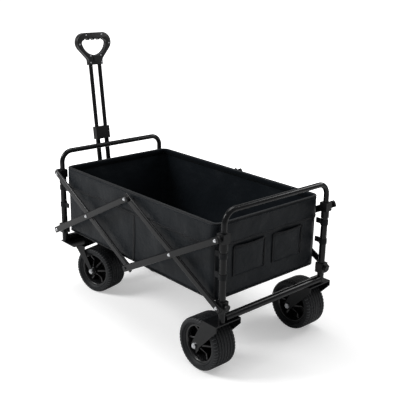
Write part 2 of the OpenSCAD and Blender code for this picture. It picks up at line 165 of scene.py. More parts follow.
def math_node(tree, operation, a=None, b=None, c=None):
    node = tree.nodes.new("ShaderNodeMath")
    node.operation = operation
    for i, value in enumerate((a, b, c)):
        if value is None:
            continue
        if isinstance(value, (int, float)):
            node.inputs[i].default_value = value
        else:
            tree.links.new(value, node.inputs[i])
    return node.outputs[0]


def object_axes(tree):
    coords = tree.nodes.new("ShaderNodeTexCoord")
    split = tree.nodes.new("ShaderNodeSeparateXYZ")
    tree.links.new(coords.outputs["Object"], split.inputs[0])
    return coords.outputs["Object"], split.outputs


def noise(tree, vector, scale, detail=3.0, rough=0.55):
    node = tree.nodes.new("ShaderNodeTexNoise")
    node.inputs["Detail"].default_value = detail
    node.inputs["Roughness"].default_value = rough
    tree.links.new(vector, node.inputs["Vector"])
    if isinstance(scale, (int, float)):
        node.inputs["Scale"].default_value = scale
    else:
        tree.links.new(scale, node.inputs["Scale"])
    return node.outputs["Fac"]


def build_weave_group():
    """Plain weave that follows whichever way the cloth faces."""
    group, given, result = start_group(
        "woven_cloth", [("Threads per metre", "NodeSocketFloat", 900.0), ("Slub", "NodeSocketFloat", 0.35)],
        [("Height", "NodeSocketFloat"), ("Tone", "NodeSocketFloat")])
    vector, axes = object_axes(group)
    geometry = group.nodes.new("ShaderNodeNewGeometry")
    normal = group.nodes.new("ShaderNodeSeparateXYZ")
    group.links.new(geometry.outputs["Normal"], normal.inputs[0])
    flat = math_node(group, "GREATER_THAN", math_node(group, "ABSOLUTE", normal.outputs["Z"]), 0.7)
    upright = math_node(group, "SUBTRACT", 1.0, flat)
    across = math_node(group, "ADD", axes["X"], math_node(group, "MULTIPLY", axes["Y"], upright))
    along = math_node(
        group, "ADD", math_node(group, "MULTIPLY", axes["Z"], upright),
        math_node(group, "MULTIPLY", axes["Y"], flat))
    rate = math_node(group, "MULTIPLY", given.outputs["Threads per metre"], math.pi)
    warp = math_node(group, "SINE", math_node(group, "MULTIPLY", across, rate))
    weft = math_node(group, "SINE", math_node(group, "MULTIPLY", along, rate))
    check = math_node(group, "MULTIPLY", warp, weft)
    slub = math_node(group, "MULTIPLY", noise(group, vector, 260.0, 2.0), given.outputs["Slub"])
    height = math_node(group, "ADD", math_node(group, "MULTIPLY_ADD", check, 0.5, 0.5), slub)
    group.links.new(height, result.inputs["Height"])
    group.links.new(
        math_node(group, "MULTIPLY_ADD", noise(group, vector, 9.0, 4.0), 0.6, 0.7), result.inputs["Tone"])
    return group


def build_grain_group():
    """Fine moulded or coated grain, with a slower drift in gloss."""
    group, given, result = start_group(
        "fine_grain",
        [("Scale", "NodeSocketFloat", 900.0), ("Gloss low", "NodeSocketFloat", 0.3),
         ("Gloss high", "NodeSocketFloat", 0.5)],
        [("Height", "NodeSocketFloat"), ("Roughness", "NodeSocketFloat")])
    vector, _ = object_axes(group)
    group.links.new(noise(group, vector, given.outputs["Scale"], 2.0), result.inputs["Height"])
    drift = noise(group, vector, 14.0, 4.0)
    span = math_node(group, "SUBTRACT", given.outputs["Gloss high"], given.outputs["Gloss low"])
    group.links.new(
        math_node(group, "MULTIPLY_ADD", drift, span, given.outputs["Gloss low"]), result.inputs["Roughness"])
    return group


def build_wear_group():
    """Mask of small rubs and dust that gathers in drifts."""
    group, given, result = start_group(
        "rubs_and_dust", [("Scale", "NodeSocketFloat", 40.0), ("Amount", "NodeSocketFloat", 0.3)],
        [("Mask", "NodeSocketFloat")])
    vector, _ = object_axes(group)
    broad = noise(group, vector, given.outputs["Scale"], 6.0, 0.7)
    cut = math_node(group, "SUBTRACT", 0.86, math_node(group, "MULTIPLY", given.outputs["Amount"], 0.6))
    over = math_node(group, "SUBTRACT", broad, cut)
    mask = math_node(group, "MULTIPLY", over, 6.0)
    clamp = group.nodes.new("ShaderNodeClamp")
    group.links.new(mask, clamp.inputs["Value"])
    group.links.new(clamp.outputs[0], result.inputs["Mask"])
    return group


def shared_group(name):
    """One of the shared groups, built when it is first asked for."""
    makers = {
        "woven_cloth": build_weave_group, "fine_grain": build_grain_group, "rubs_and_dust": build_wear_group,
    }
    return bpy.data.node_groups.get(name) or makers[name]()


# ---------------------------------------------------------------- materials


class Finish:
    """A material in the making: its tree, its shader and the shared groups."""

    def __init__(self, name, colour, metallic=0.0, sheen=0.0, coat=0.0, specular=0.5):
        self.material = bpy.data.materials.new(name)
        self.material.use_nodes = True
        self.tree = self.material.node_tree
        self.shader = self.tree.nodes["Principled BSDF"]
        self.colour = (*colour, 1.0)
        self.set("Base Color", self.colour)
        self.set("Metallic", metallic)
        self.set("Sheen Weight", sheen)
        self.set("Coat Weight", coat)
        self.set("Specular IOR Level", specular)

    def set(self, socket, value):
        self.shader.inputs[socket].default_value = value

    def link(self, output, socket):
        self.tree.links.new(output, self.shader.inputs[socket])

    def group(self, name, **values):
        node = self.tree.nodes.new("ShaderNodeGroup")
        node.node_tree = shared_group(name)
        for label, value in values.items():
            node.inputs[label.replace("_", " ")].default_value = value
        return node

    def bump(self, height, distance, strength=1.0, under=None):
        node = self.tree.nodes.new("ShaderNodeBump")
        node.inputs["Distance"].default_value = distance
        node.inputs["Strength"].default_value = strength
        self.tree.links.new(height, node.inputs["Height"])
        if under is not None:
            self.tree.links.new(under, node.inputs["Normal"])
        return node.outputs["Normal"]

    def blend_colour(self, mask, other):
        mix = self.tree.nodes.new("ShaderNodeMix")
        mix.data_type = "RGBA"
        mix.inputs["A"].default_value = self.colour
        mix.inputs["B"].default_value = (*other, 1.0)
        self.tree.links.new(mask, mix.inputs["Factor"])
        self.link(mix.outputs["Result"], "Base Color")


def grained(name, colour, scale, low, high, depth, dust, dust_colour, **extra):
    """Coated or moulded finish with grain, drifting gloss and a little dust."""
    made = Finish(name, colour, **extra)
    grain = made.group("fine_grain", Scale=scale, Gloss_low=low, Gloss_high=high)
    made.link(grain.outputs["Roughness"], "Roughness")
    made.link(made.bump(grain.outputs["Height"], depth), "Normal")
    if dust:
        wear = made.group("rubs_and_dust", Scale=35.0, Amount=dust)
        made.blend_colour(wear.outputs["Mask"], dust_colour)
    return made.material


def woven(name, colour, threads, depth, sheen, roughness):
    """Woven cloth with thread relief, tone drift and soft creases."""
    made = Finish(name, colour, sheen=sheen, specular=0.14)
    made.set("Roughness", roughness)
    made.set("Sheen Roughness", 0.45)
    weave = made.group("woven_cloth", Threads_per_metre=threads, Slub=0.3)
    vector, _ = object_axes(made.tree)
    crease = noise(made.tree, vector, 7.0, 4.0, 0.45)
    soft = made.bump(crease, 0.02, 0.7)
    made.link(made.bump(weave.outputs["Height"], depth, 0.8, soft), "Normal")
    made.blend_colour(weave.outputs["Tone"], tuple(min(1.0, c * 1.7) for c in colour))
    return made.material


# Pale grey of the floors of the shoulder notches: partly dust, partly a painted highlight where the notches catch
# the light
NOTCH_DUST_AND_HIGHLIGHT = (0.085, 0.087, 0.091)


def make_materials():
    c = colours()
    dust = (0.012, 0.0125, 0.0135)
    return {
        "powder_coat": grained(
            "powder_coat", c.powder_coat, 1500.0, 0.14, 0.24, 0.00001, 0.08, dust, specular=0.22),
        "bracket_plastic": grained(
            "bracket_plastic", c.plastic, 1100.0, 0.34, 0.48, 0.00003, 0.1, dust, specular=0.25),
        "grip_plastic": grained(
            "grip_plastic", c.plastic, 1600.0, 0.26, 0.4, 0.00003, 0.08, dust, specular=0.4),
        "hub_plastic": grained(
            "hub_plastic", c.plastic, 900.0, 0.16, 0.3, 0.00002, 0.15, dust, specular=0.5),
        "tyre_rubber": grained(
            "tyre_rubber", c.rubber, 700.0, 0.48, 0.64, 0.0001, 0.25, dust, specular=0.3),
        # Pale notch floors: partly dust, partly a painted highlight
        "notch_dust_and_highlight": grained(
            "notch_dust_and_highlight", NOTCH_DUST_AND_HIGHLIGHT, 500.0, 0.6, 0.8, 0.0002, 0.3, dust, specular=0.2),
        "zinc_plate": grained(
            "zinc_plate", c.zinc, 500.0, 0.22, 0.4, 0.00005, 0.0, dust, metallic=1.0),
        "basket_cloth": woven("basket_cloth", c.cloth, 900.0, 0.00012, 0.02, 0.44),
        "binding_tape": woven("binding_tape", c.tape, 1300.0, 0.0002, 0.05, 0.6),
        "webbing": woven("webbing", c.tape, 520.0, 0.0005, 0.05, 0.56),
        "thread": woven("thread", tuple(v * 2.2 for v in c.cloth), 2500.0, 0.0001, 0.1, 0.5),
    }


MATERIALS = {}


def finish_of(name):
    if not MATERIALS:
        MATERIALS.update(make_materials())
    return MATERIALS[name]


# ---------------------------------------------------------------- mesh helpers


def new_piece(name, verts, faces, material, smooth=True):
    """A mesh object with outward normals."""
    mesh = bpy.data.meshes.new(name)
    mesh.from_pydata([tuple(v) for v in verts], [], faces)
    mesh.validate()
    build = bmesh.new()
    build.from_mesh(mesh)
    bmesh.ops.recalc_face_normals(build, faces=build.faces)
    build.to_mesh(mesh)
    build.free()
    for polygon in mesh.polygons:
        polygon.use_smooth = smooth
    piece = bpy.data.objects.new(name, mesh)
    bpy.context.scene.collection.objects.link(piece)
    mesh.materials.append(finish_of(material))
    return piece


def apply_modifiers(piece):
    graph = bpy.context.evaluated_depsgraph_get()
    mesh = bpy.data.meshes.new_from_object(piece.evaluated_get(graph))
    old = piece.data
    piece.modifiers.clear()
    piece.data = mesh
    mesh.name = old.name
    bpy.data.meshes.remove(old)


def bevel(piece, width, segments=2, angle=35.0):
    mod = piece.modifiers.new("bevel", "BEVEL")
    mod.width = width
    mod.segments = segments
    mod.limit_method = "ANGLE"
    mod.angle_limit = math.radians(angle)
    apply_modifiers(piece)
    shade_by_angle(piece)


def shade_by_angle(piece, angle=40.0):
    for polygon in piece.data.polygons:
        polygon.use_smooth = True
    mesh = piece.data
    build = bmesh.new()
    build.from_mesh(mesh)
    for edge in build.edges:
        if len(edge.link_faces) == 2:
            edge.smooth = edge.calc_face_angle(0.0) < math.radians(angle)
    build.to_mesh(mesh)
    build.free()


def thicken(piece, thickness, offset=-1.0):
    mod = piece.modifiers.new("thickness", "SOLIDIFY")
    mod.thickness = thickness
    mod.offset = offset
    apply_modifiers(piece)


def grid_faces(rows, columns, closed=False):
    """Quads of a grid whose vertices run column by column within each row."""
    faces = []
    for i in range(rows - 1):
        for j in range(columns if closed else columns - 1):
            k = (j + 1) % columns
            faces.append((i * columns + j, i * columns + k, (i + 1) * columns + k, (i + 1) * columns + j))
    return faces


def sweep(path, section, closed=False, up=Vector((0, 0, 1))):
    """Vertices and faces of a section carried along a path. Section points are (sideways, up)."""
    count = len(path)
    verts = []
    for i, point in enumerate(path):
        before = path[i - 1] if closed or i else path[i]
        after = path[(i + 1) % count] if closed or i < count - 1 else path[i]
        ahead = (after - before).normalized()
        side = ahead.cross(up)
        side = side.normalized() if side.length > 1e-5 else Vector((0, 1, 0))
        over = side.cross(ahead).normalized()
        verts += [point + side * a + over * b for a, b in section]
    n = len(section)
    faces = grid_faces(count, n, closed=True)
    if closed:
        last = (count - 1) * n
        faces += [(last + j, last + (j + 1) % n, (j + 1) % n, j) for j in range(n)]
    else:
        faces.append(tuple(range(n - 1, -1, -1)))
        faces.append(tuple(range((count - 1) * n, count * n)))
    return verts, faces


def ring_section(radius_a, radius_b=None, count=8):
    radius_b = radius_a if radius_b is None else radius_b
    return [
        (radius_a * math.cos(2 * math.pi * i / count), radius_b * math.sin(2 * math.pi * i / count))
        for i in range(count)
    ]


def revolve(profile, segments):
    """Vertices and faces of a closed profile of (radius, along) turned about Y."""
    verts = []
    for i in range(segments):
        turn = 2 * math.pi * i / segments
        verts += [Vector((r * math.cos(turn), y, r * math.sin(turn))) for r, y in profile]
    n = len(profile)
    faces = []
    for i in range(segments):
        k = (i + 1) % segments
        for j in range(n):
            m = (j + 1) % n
            faces.append((i * n + j, i * n + m, k * n + m, k * n + j))
    return verts, faces


def merge(parts):
    """Joins (verts, faces) lists into one."""
    verts, faces = [], []
    for more, quads in parts:
        base = len(verts)
        verts += more
        faces += [tuple(base + i for i in quad) for quad in quads]
    return verts, faces


def block(centre, axes, half):
    """A box from its centre, three unit axes and half sizes."""
    corners = []
    for a in (-1, 1):
        for b in (-1, 1):
            for c in (-1, 1):
                corners.append(centre + axes[0] * a * half[0] + axes[1] * b * half[1] + axes[2] * c * half[2])
    return corners, [(0, 1, 3, 2), (4, 6, 7, 5), (0, 4, 5, 1), (2, 3, 7, 6), (0, 2, 6, 4), (1, 5, 7, 3)]


def soft_fold(piece):
    """Hangs a basket piece on the rear base, with a mesh of its own."""
    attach(piece, "rear_base")
    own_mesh(piece)


# ---------------------------------------------------------------- coated and plated CAD pieces


NODE_FINISH = {
    "frame_paint": "powder_coat", "bracket_plastic": "bracket_plastic", "grip_plastic": "grip_plastic",
    "hub_plastic": "hub_plastic", "tyre_rubber": "tyre_rubber", "bright_metal": "zinc_plate",
    "basket_fabric": "basket_cloth", "mat_fabric": "basket_cloth",
}


class WAGON_OT_frame_finishes(bpy.types.Operator):
    """Gives every CAD piece its finish"""

    bl_idname = "wagon.frame_finishes"
    bl_label = "Frame finishes"

    def execute(self, context):
        for part in frame["record"]["subparts"]:
            piece = NODES[part["node"]]
            wanted = finish_of(NODE_FINISH[part["material_slot"]])
            for slot in piece.material_slots:
                slot.material = wanted
        return {"FINISHED"}


# ---------------------------------------------------------------- wheels


WHEELS = (
    ("rear", "near", "rear_wheel_spin_near", "rear_wheel_near"),
    ("rear", "far", "rear_wheel_spin_far", "rear_wheel_far"),
    ("front", "near", "front_wheel_spin_near", "front_wheel_near"),
    ("front", "far", "front_wheel_spin_far", "front_wheel_far"),
)
TYRE_LOW, TYRE_HIGH = box_of("tyre_rear_near")
TYRE_R = (TYRE_HIGH.z - TYRE_LOW.z) / 2
TYRE_W = (TYRE_HIGH.y - TYRE_LOW.y) / 2
RIM_R = (box_of("hub_rear_near")[1].z - box_of("hub_rear_near")[0].z) / 2
BOSS_W = (box_of("hub_rear_near")[1].y - box_of("hub_rear_near")[0].y) / 2


def wheel_matrix(joint):
    """Places a wheel drawn about the origin, axle along Y, on its spin joint."""
    data = JOINTS[joint]
    axle = Vector(data["axis"]).normalized()
    turn = Vector((0, 1, 0)).rotation_difference(axle).to_matrix().to_4x4()
    return Matrix.Translation(Vector(data["pos_m"])) @ turn


def tyre_profile():
    """Half sections of a wide ribbed tyre, as rows of (radius, along, how deep a notch cuts there)."""
    r, w, depth = TYRE_R, TYRE_W, sizes().groove_depth
    side = [
        (RIM_R - 1.5 * MM, w * 0.66, 0), (RIM_R + 1.5 * MM, w * 0.78, 0), (RIM_R + 3 * MM, w * 0.86, 0),
        (RIM_R + 6 * MM, w * 0.90, 0), (RIM_R + 8 * MM, w * 0.885, 0), (RIM_R + 9.5 * MM, w * 0.93, 0),
        ((RIM_R + r - 6 * MM) / 2, w * 0.985, 0), (r - 12 * MM, w, 0), (r - 9 * MM, w * 0.992, 0),
        (r - 6.5 * MM, w * 0.975, 0.4), (r - 4 * MM, w * 0.95, 1), (r - 2 * MM, w * 0.90, 1),
        (r - 0.9 * MM, w * 0.84, 1), (r - 0.4 * MM, w * 0.77, 1), (r - 0.2 * MM, w * 0.715, 1),
        (r - 0.2 * MM, w * 0.705, 0),
    ]
    crown = []
    for middle in (0.66, 0.40, 0.13):
        for step, drop in ((0.030, 0), (0.022, 1), (-0.022, 1), (-0.030, 0)):
            crown.append((r - 0.15 * MM * middle - drop * depth, w * (middle + step), 0))
        if middle > 0.13:
            crown.append((r - 0.08 * MM, w * (middle - 0.09), 0))
            crown.append((r - 0.08 * MM, w * (middle - 0.10), 0.7))
            crown.append((r - 0.08 * MM, w * (middle - 0.16), 0.7))
            crown.append((r - 0.08 * MM, w * (middle - 0.17), 0))
    half = side + crown
    return [(rad, -along, cut) for rad, along, cut in half] + [
        (rad, along, cut) for rad, along, cut in reversed(half)]


# Steps round the tyre from one notch to the next
NOTCH_STEPS = 6


class WAGON_OT_tyres(bpy.types.Operator):
    """Makes the four wide ribbed tyres"""

    bl_idname = "wagon.tyres"
    bl_label = "Tyres"

    def execute(self, context):
        profile = tyre_profile()
        columns = sizes().notch_count * NOTCH_STEPS
        for end, side, joint, body in WHEELS:
            verts = []
            for i in range(columns):
                turn = 2 * math.pi * i / columns
                for rad, along, cut in profile:
                    deep = cut if self.phase(i, along) in (1, 2) else 0.0
                    reach = rad - deep * sizes().groove_depth * 0.8
                    verts.append(Vector((reach * math.cos(turn), along, reach * math.sin(turn))))
            n = len(profile)
            faces = grid_faces(columns, n)
            last = (columns - 1) * n
            faces += [(last + j, last + j + 1, j + 1, j) for j in range(n - 1)]
            tyre = new_piece(f"ribbed_tyre_{end}_{side}", verts, faces, "tyre_rubber")
            # Second slot: the pale notch floors, partly dust and partly a painted highlight
            tyre.data.materials.append(finish_of("notch_dust_and_highlight"))
            for k, polygon in enumerate(tyre.data.polygons):
                i, j = divmod(k, n - 1)
                if self.phase(i, profile[j][1]) == 1 and profile[j][2] and profile[j + 1][2]:
                    polygon.material_index = 1
            shade_by_angle(tyre, 38.0)
            tyre.data.transform(wheel_matrix(joint))
            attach(tyre, body)
            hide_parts(f"tyre_{end}_{side}")
        return {"FINISHED"}

    def phase(self, column, along):
        """Where a column lies between two notches; the two shoulders are half a step apart."""
        return (column + (0 if along < 0 else NOTCH_STEPS // 2)) % NOTCH_STEPS


class WAGON_OT_hubs(bpy.types.Operator):
    """Makes the four moulded hubs"""

    bl_idname = "wagon.hubs"
    bl_label = "Hubs"

    def execute(self, context):
        w = TYRE_W * 0.70
        rim = [
            (RIM_R, -w), (RIM_R + 2.5 * MM, -w - 2 * MM), (RIM_R + 2 * MM, -w - 4 * MM),
            (RIM_R - 3 * MM, -w - 4 * MM),
            (RIM_R - 6 * MM, -w + 1 * MM), (RIM_R - 9 * MM, -w * 0.5), (RIM_R - 10 * MM, 0.0),
        ]
        rim += [(rad, -along) for rad, along in reversed(rim[:-1])]
        dish = [
            (14 * MM, -7 * MM), (RIM_R - 8 * MM, -4 * MM), (RIM_R - 8 * MM, 4 * MM), (14 * MM, 7 * MM),
        ]
        boss = [
            (5.1 * MM, -BOSS_W), (13 * MM, -BOSS_W), (15.5 * MM, -BOSS_W + 2.5 * MM), (17 * MM, -10 * MM),
            (17 * MM, 10 * MM), (15.5 * MM, BOSS_W - 2.5 * MM), (13 * MM, BOSS_W), (5.1 * MM, BOSS_W),
        ]
        count = sizes().spoke_count
        for end, side, joint, body in WHEELS:
            parts = [revolve(rim, 72), revolve(dish, 72), revolve(boss, 48)]
            for i in range(count):
                for face in (-1, 1):
                    parts.append(self.spoke(2 * math.pi * i / count, face, w))
            piece = new_piece(f"wheel_hub_{end}_{side}", *merge(parts), "hub_plastic")
            bevel(piece, 1.0 * MM, 2, 32.0)
            piece.data.transform(wheel_matrix(joint))
            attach(piece, body)
            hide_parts(f"hub_{end}_{side}")
        return {"FINISHED"}

    def spoke(self, turn, face, w):
        """A rib that rises from the boss and dips towards the rim."""
        out = Vector((math.cos(turn), 0, math.sin(turn)))
        side = Vector((-math.sin(turn), 0, math.cos(turn)))
        verts = []
        stations = (
            (12 * MM, 5.5 * MM, BOSS_W * 0.78), (RIM_R * 0.62, 4.2 * MM, w * 0.62),
            (RIM_R - 7 * MM, 5.5 * MM, w * 0.80),
        )
        for reach, half, height in stations:
            for a in (-1, 1):
                verts.append(out * reach + side * a * half)
                verts.append(out * reach + side * a * half * 0.75 + Vector((0, face * height, 0)))
        faces = [(0, 1, 3, 2), (8, 10, 11, 9)]
        for k in (0, 4):
            faces += [(k, k + 4, k + 5, k + 1), (k + 2, k + 3, k + 7, k + 6), (k + 1, k + 5, k + 7, k + 3),
                      (k, k + 2, k + 6, k + 4)]
        return verts, faces


# ---------------------------------------------------------------- link end plugs


LINKS = (("bar_a", "arm_a"), ("bar_b", "arm_b"), ("bar_c", "arm_c"), ("bar_d", "arm_d"))
BAR_HALF = 12 * MM
PLUG_HALF_HEIGHT = 11.4 * MM
PLUG_HALF_WIDTH = 4.7 * MM
PLUG_POINTS = 20
# How far a leaning link's box is higher, and longer, than the run between its ends
BOX_EXTRA_HEIGHT = 21 * MM
BOX_EXTRA_LENGTH = 11 * MM


class WAGON_OT_end_plugs(bpy.types.Operator):
    """Closes the ends of the flat links with moulded plugs"""

    bl_idname = "wagon.end_plugs"
    bl_label = "Link end plugs"

    def execute(self, context):
        for stem, body in LINKS:
            for side, _ in SIDES:
                low, high = box_of(f"{stem}_{side}")
                rising = stem in ("bar_b", "bar_c")
                middle_y = (low.y + high.y) / 2
                length = high.x - low.x
                slope = math.atan2(high.z - low.z - BOX_EXTRA_HEIGHT, length - BOX_EXTRA_LENGTH)
                slope *= 1 if rising else -1
                along = Vector((math.cos(slope), 0, math.sin(slope)))
                over = Vector((-math.sin(slope), 0, math.cos(slope)))
                centre = (low + high) / 2
                reach = self.end_reach(low, high, along, over)
                parts = []
                for sign in (-1, 1):
                    tip = Vector((centre.x, middle_y, centre.z)) + along * sign * reach
                    path = [tip + along * sign * k * MM for k in (-2.0, 0.0, 1.4, 2.2)]
                    grow = (1.0, 1.0, 0.96, 0.82)
                    verts = []
                    for point, g in zip(path, grow):
                        verts += [point + over * a * g + Vector((0, b * g, 0)) for a, b in
                                  ring_section(PLUG_HALF_HEIGHT, PLUG_HALF_WIDTH, PLUG_POINTS)]
                    faces = grid_faces(len(path), PLUG_POINTS, closed=True)
                    faces.append(tuple(range(PLUG_POINTS - 1, -1, -1)))
                    faces.append(tuple(range((len(path) - 1) * PLUG_POINTS, len(path) * PLUG_POINTS)))
                    parts.append((verts, faces))
                piece = new_piece(f"link_plugs_{stem[-1]}_{side}", *merge(parts), "bracket_plastic")
                shade_by_angle(piece, 50.0)
                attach(piece, body)
        return {"FINISHED"}

    def end_reach(self, low, high, along, over):
        """Half the link's length, from its box and its slope."""
        half_z = (high.z - low.z) / 2
        return (half_z - BAR_HALF * abs(over.z)) / abs(along.z)


# ---------------------------------------------------------------- basket


def rounded_loop(half_x, half_y, radius, step):
    """Points round a rounded rectangle, with their outward normals and the panel they belong to."""
    points = []
    straight_x = 2 * (half_x - radius)
    straight_y = 2 * (half_y - radius)
    corners = (
        (half_x - radius, -half_y + radius, -math.pi / 2), (half_x - radius, half_y - radius, 0.0),
        (-half_x + radius, half_y - radius, math.pi / 2), (-half_x + radius, -half_y + radius, math.pi),
    )
    runs = (straight_y, straight_x, straight_y, straight_x)
    for index, (cx, cy, start) in enumerate(corners):
        arc_steps = 8
        for i in range(arc_steps):
            turn = start + math.pi / 2 * i / arc_steps
            normal = Vector((math.cos(turn), math.sin(turn), 0))
            points.append((Vector((cx, cy, 0)) + normal * radius, normal, index, -1.0))
        turn = start + math.pi / 2
        normal = Vector((math.cos(turn), math.sin(turn), 0))
        ahead = Vector((-normal.y, normal.x, 0))
        count = max(4, int(runs[index] / step))
        for i in range(count):
            share = i / count
            place = Vector((cx, cy, 0)) + normal * radius + ahead * runs[index] * share
            points.append((place, normal, index, share))
    return points


TUB_CENTRE = (TUB_LOW + TUB_HIGH) / 2
HALF_X = (TUB_HIGH.x - TUB_LOW.x) / 2 - CUFF_OUT
HALF_Y = (TUB_HIGH.y - TUB_LOW.y) / 2 - CUFF_OUT


def ripple(point, height, share):
    """How far the cloth stands in from its frame: soft folds that fade at seams."""
    if share < 0:
        fade = 0.0
    else:
        fade = math.sin(math.pi * share) ** 0.6
    tall = math.sin(math.pi * min(1.0, max(0.0, height))) ** 0.7
    u = point.x + point.y * 1.3
    folds = (
        0.50 * math.sin(u * 23.0 + height * 2.6) + 0.30 * math.sin(u * 41.0 - height * 4.1 + 1.3)
        + 0.20 * math.sin(u * 67.0 + height * 7.0 + 0.4)
    )
    pull = 0.55 + 0.45 * folds
    return sizes().slack * fade * tall * pull


def basket_grid(z_levels, offset):
    """Rings of the basket wall at the given heights, each set in or out by offset."""
    loop = rounded_loop(HALF_X, HALF_Y, sizes().corner_radius, 14 * MM)
    verts = []
    for z in z_levels:
        height = (z - FLOOR_Z) / (RIM_Z - FLOOR_Z)
        for point, normal, _, share in loop:
            inset = ripple(point, height, share)
            place = point + normal * (offset - inset) + Vector((TUB_CENTRE.x, TUB_CENTRE.y, 0))
            verts.append(Vector((place.x, place.y, z)))
    return verts, len(loop)


class WAGON_OT_basket(bpy.types.Operator):
    """Makes the sewn basket: walls, floor and the cuff over its rim"""

    bl_idname = "wagon.basket"
    bl_label = "Basket"

    def execute(self, context):
        thick = sizes().cloth_thickness
        levels = [FLOOR_Z + thick + (RIM_Z - FLOOR_Z - thick) * i / 22 for i in range(23)]
        verts, n = basket_grid(levels, 0.0)
        faces = grid_faces(len(levels), n, closed=True)
        # The floor closes the lowest ring with shrinking rings that sag between the ends
        rings = 14
        base = verts[:n]
        centre = Vector((TUB_CENTRE.x, TUB_CENTRE.y, levels[0]))
        previous = list(range(n))
        for k in range(1, rings):
            share = k / rings
            start = len(verts)
            for point in base:
                flat = point.lerp(centre, share)
                drop = 1.5 * MM * math.sin(math.pi * share / 2)
                verts.append(Vector((flat.x, flat.y, levels[0] - drop)))
            for j in range(n):
                m = (j + 1) % n
                faces.append((previous[m], previous[j], start + j, start + m))
            previous = list(range(start, start + n))
        tip = len(verts)
        verts.append(Vector((centre.x, centre.y, levels[0] - 1.5 * MM)))
        faces += [(previous[(j + 1) % n], previous[j], tip) for j in range(n)]
        tub = new_piece("basket_tub_cloth", verts, faces, "basket_cloth")
        thicken(tub, thick, -1.0)
        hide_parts("basket_tub")
        soft_fold(tub)
        self.cuff()
        return {"FINISHED"}

    def cuff(self):
        """The wide hem turned over the rim to the outside."""
        depth = sizes().cuff_depth
        outer = [RIM_Z + 1.5 * MM - depth * i / 9 for i in range(10)]
        verts, n = basket_grid(outer, CUFF_OUT - 0.8 * MM)
        verts = [cuff_drape(vert) for vert in verts]
        faces = grid_faces(len(outer), n, closed=True)
        inside = -sizes().cloth_thickness - 1.5 * MM
        inner, _ = basket_grid([RIM_Z + 2.2 * MM, RIM_Z + 1.0 * MM, RIM_Z - 18 * MM], inside)
        start = len(verts)
        verts += inner
        faces += [(j, start + j, start + (j + 1) % n, (j + 1) % n) for j in range(n)]
        faces += [tuple(start + i for i in quad) for quad in grid_faces(3, n, closed=True)]
        piece = new_piece("basket_cuff", verts, faces, "basket_cloth")
        thicken(piece, CUFF_SKIN, 1.0)
        soft_fold(piece)


def cuff_drape(point):
    """Lets the cuff stand off and dip a little, more towards its lower edge."""
    fall = (RIM_Z - point.z) / sizes().cuff_depth
    wave = 0.5 + 0.5 * math.sin(point.x * 31 + point.y * 27) * math.cos(point.x * 13 - point.y * 19)
    side = Vector((point.x - TUB_CENTRE.x, point.y - TUB_CENTRE.y, 0))
    side = Vector((0, math.copysign(1, side.y), 0)) if abs(side.y) > HALF_Y - 8 * MM else \
        Vector((math.copysign(1, side.x), 0, 0))
    return point + side * 2.2 * MM * wave * fall - Vector((0, 0, 2.5 * MM * wave * fall))


def wall_path(z, offset, on_cuff=False):
    """A closed path round the basket wall, or round its cuff, at a height."""
    verts, _ = basket_grid([z], offset)
    return [cuff_drape(vert) for vert in verts] if on_cuff else verts


def stitches(path, name, pitch):
    """Short raised threads along a closed path."""
    parts = []
    lengths = [(path[(i + 1) % len(path)] - path[i]).length for i in range(len(path))]
    total = sum(lengths)
    count = int(total / pitch)
    index, walked = 0, 0.0
    for k in range(count):
        target = total * k / count
        while walked + lengths[index] < target:
            walked += lengths[index]
            index += 1
        a, b = path[index], path[(index + 1) % len(path)]
        ahead = (b - a).normalized()
        point = a.lerp(b, (target - walked) / max(lengths[index], 1e-6))
        side = ahead.cross(Vector((0, 0, 1))).normalized()
        parts.append(block(point, (ahead, side, Vector((0, 0, 1))), (pitch * 0.33, 0.45 * MM, 0.5 * MM)))
    piece = new_piece(name, *merge(parts), "thread")
    soft_fold(piece)
    return piece


